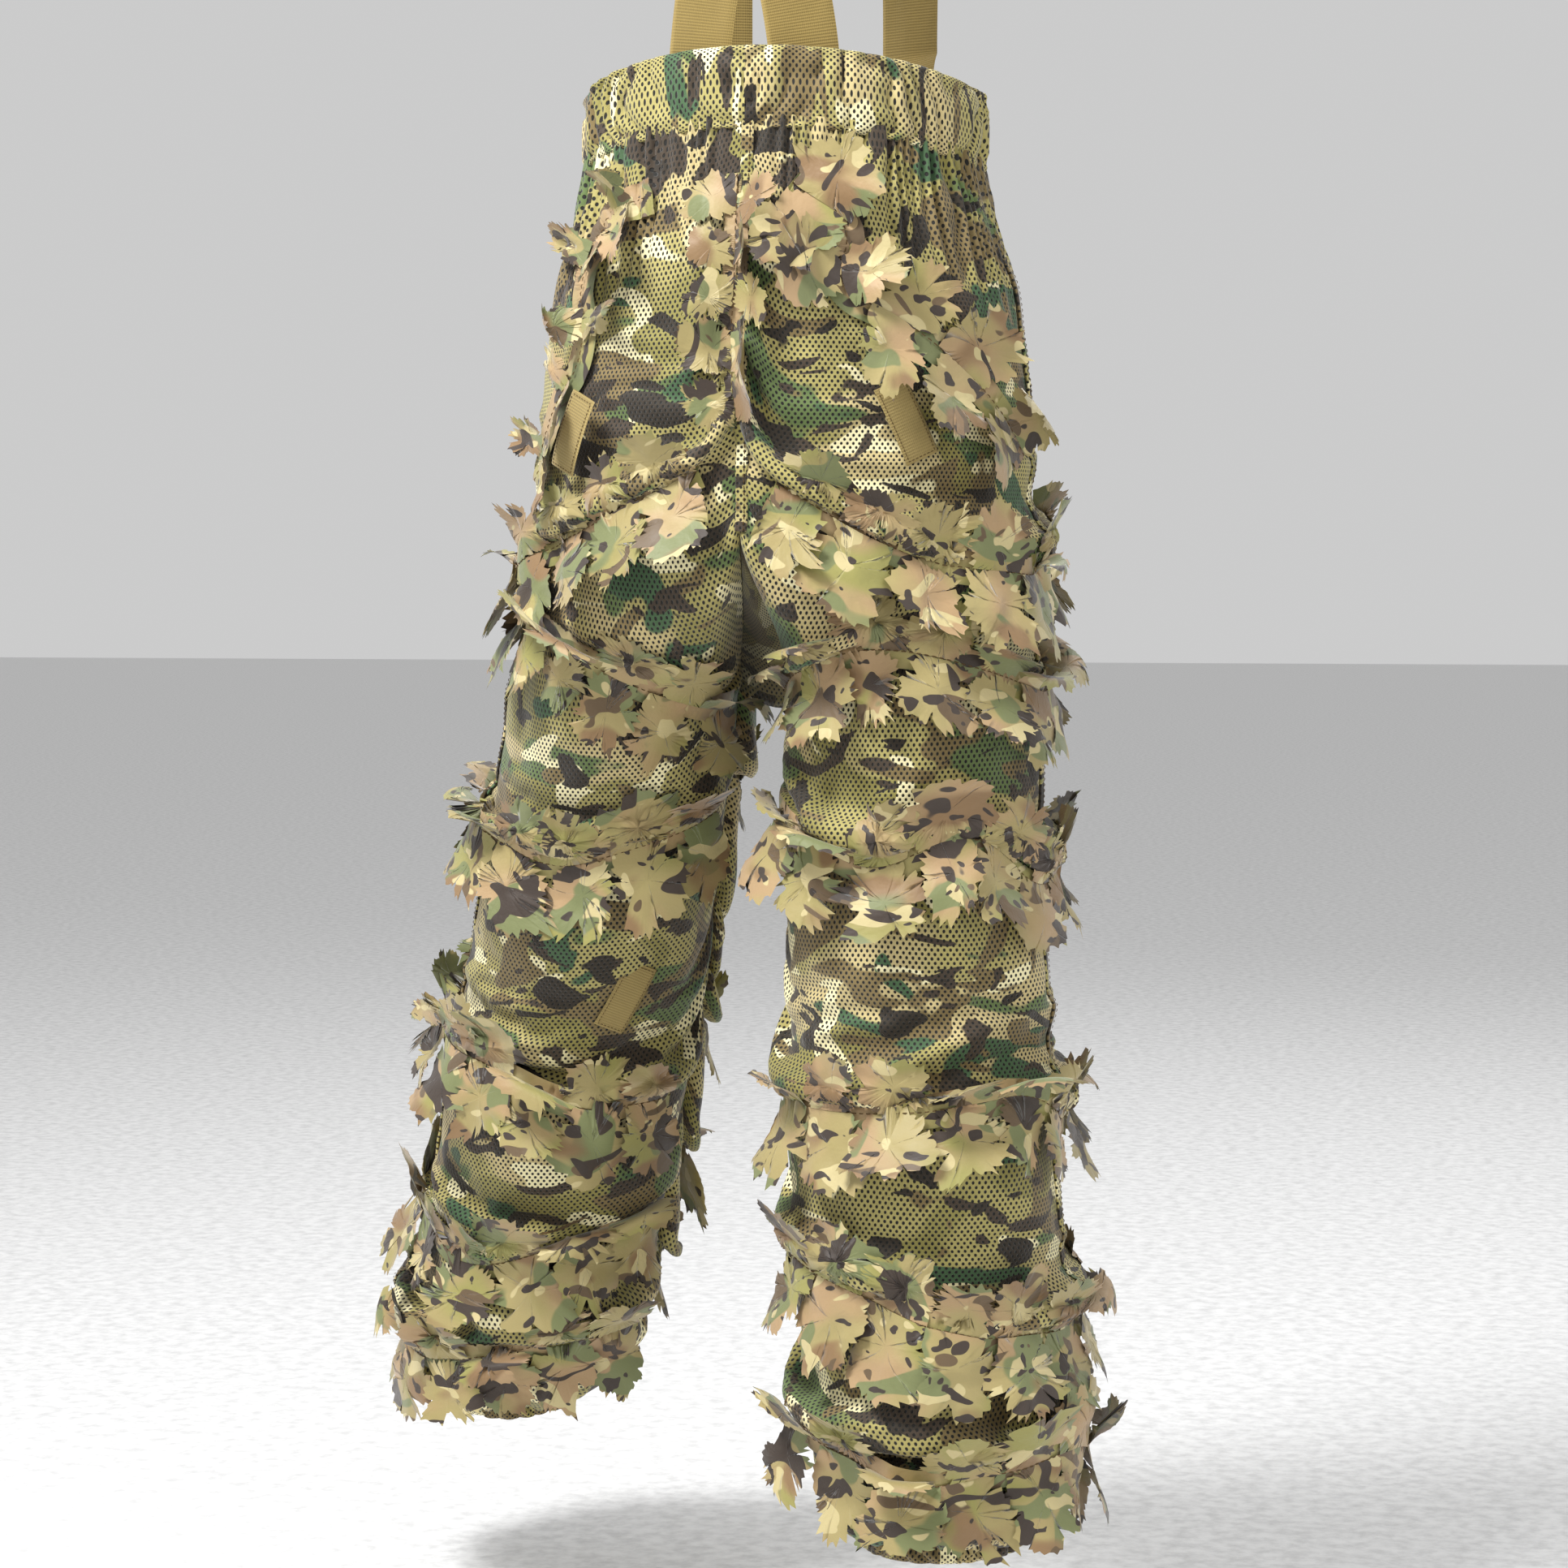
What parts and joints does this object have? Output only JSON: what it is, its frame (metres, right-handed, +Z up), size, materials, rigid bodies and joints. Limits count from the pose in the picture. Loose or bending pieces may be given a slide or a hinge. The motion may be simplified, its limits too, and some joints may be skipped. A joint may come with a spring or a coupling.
{
  "type": "ghillie over-trousers",
  "caption": "Camouflage mesh over-trousers with leaf-cut strips, foliage loops, gathered waistband and hems, and crossed suspenders.",
  "frame": {"origin": "middle of the waistband, where the wearer's waist holds the trousers up", "axes": "+Z up, +Y the way the wearer faces, +X towards the wearer's right side"},
  "size_m": [0.61, 0.4558, 1.4404],
  "materials": {
    "mesh_fabric": "camouflage-printed polyester mesh",
    "gusset_fabric": "dark camouflage-printed mesh",
    "leaf_fabric": "smooth camouflage-printed polyester, cut edges",
    "webbing": "ribbed tan webbing",
    "elastic": "woven elastic",
    "buckle_plastic": "moulded nylon"
  },
  "bodies": {
    "waist": {"waistband_back": "mesh_fabric", "waistband_front": "mesh_fabric", "waist_elastic": "elastic", "crotch_gusset": "gusset_fabric", "cross_patch": "webbing", "leaf_strip_seat_seam": "leaf_fabric", "seat_panel_left": "mesh_fabric", "front_panel_left": "mesh_fabric", "suspender_left": "webbing", "leaf_strip_hip_left": "leaf_fabric", "leaf_strip_seat_left": "leaf_fabric", "foliage_loop_seat_left": "webbing", "seat_panel_right": "mesh_fabric", "front_panel_right": "mesh_fabric", "suspender_right": "webbing", "leaf_strip_hip_right": "leaf_fabric", "leaf_strip_seat_right": "leaf_fabric", "foliage_loop_seat_right": "webbing"},
    "left_thigh": {"thigh_back_left": "mesh_fabric", "thigh_front_left": "mesh_fabric", "leaf_strip_crotch_left": "leaf_fabric", "leaf_strip_thigh_left": "leaf_fabric", "leaf_strip_knee_left": "leaf_fabric", "foliage_loop_calf_left": "webbing"},
    "left_calf": {"calf_back_left": "mesh_fabric", "calf_front_left": "mesh_fabric", "hem_casing_left": "mesh_fabric", "hem_elastic_left": "elastic", "leaf_strip_calf_left": "leaf_fabric", "leaf_strip_ankle_left": "leaf_fabric"},
    "left_adjuster": {"adjuster_left": "buckle_plastic"},
    "right_thigh": {"thigh_back_right": "mesh_fabric", "thigh_front_right": "mesh_fabric", "leaf_strip_crotch_right": "leaf_fabric", "leaf_strip_thigh_right": "leaf_fabric", "leaf_strip_knee_right": "leaf_fabric"},
    "right_calf": {"calf_back_right": "mesh_fabric", "calf_front_right": "mesh_fabric", "hem_casing_right": "mesh_fabric", "hem_elastic_right": "elastic", "leaf_strip_calf_right": "leaf_fabric", "leaf_strip_ankle_right": "leaf_fabric"},
    "right_adjuster": {"adjuster_right": "buckle_plastic"}
  },
  "joints": [
    {"name": "left_hip", "type": "hinge", "parent": "waist", "child": "left_thigh", "pos_m": [-0.118, 0, -0.24], "axis": [1, 0, 0], "range_deg": [-35, 50], "deforming": ["leaf_strip_hip_left", "leaf_strip_crotch_left"]},
    {"name": "left_knee", "type": "hinge", "parent": "left_thigh", "child": "left_calf", "pos_m": [-0.1862, 0.1164, -0.6136], "axis": [-1, 0, 0], "range_deg": [0, 75], "deforming": ["leaf_strip_knee_left", "foliage_loop_calf_left"]},
    {"name": "right_hip", "type": "hinge", "parent": "waist", "child": "right_thigh", "pos_m": [0.098, 0, -0.24], "axis": [1, 0, 0], "range_deg": [-20, 70], "deforming": ["leaf_strip_hip_right", "leaf_strip_crotch_right"]},
    {"name": "right_knee", "type": "hinge", "parent": "right_thigh", "child": "right_calf", "pos_m": [0.103, 0, -0.64], "axis": [-1, 0, 0], "range_deg": [0, 75], "deforming": ["leaf_strip_knee_right"]},
    {"name": "left_adjuster_slide", "type": "slide", "parent": "waist", "child": "left_adjuster", "axis": [0, 0, 1], "range_m": [-0.03, 0.12]},
    {"name": "right_adjuster_slide", "type": "slide", "parent": "waist", "child": "right_adjuster", "axis": [0, 0, 1], "range_m": [-0.03, 0.12]}
  ]
}
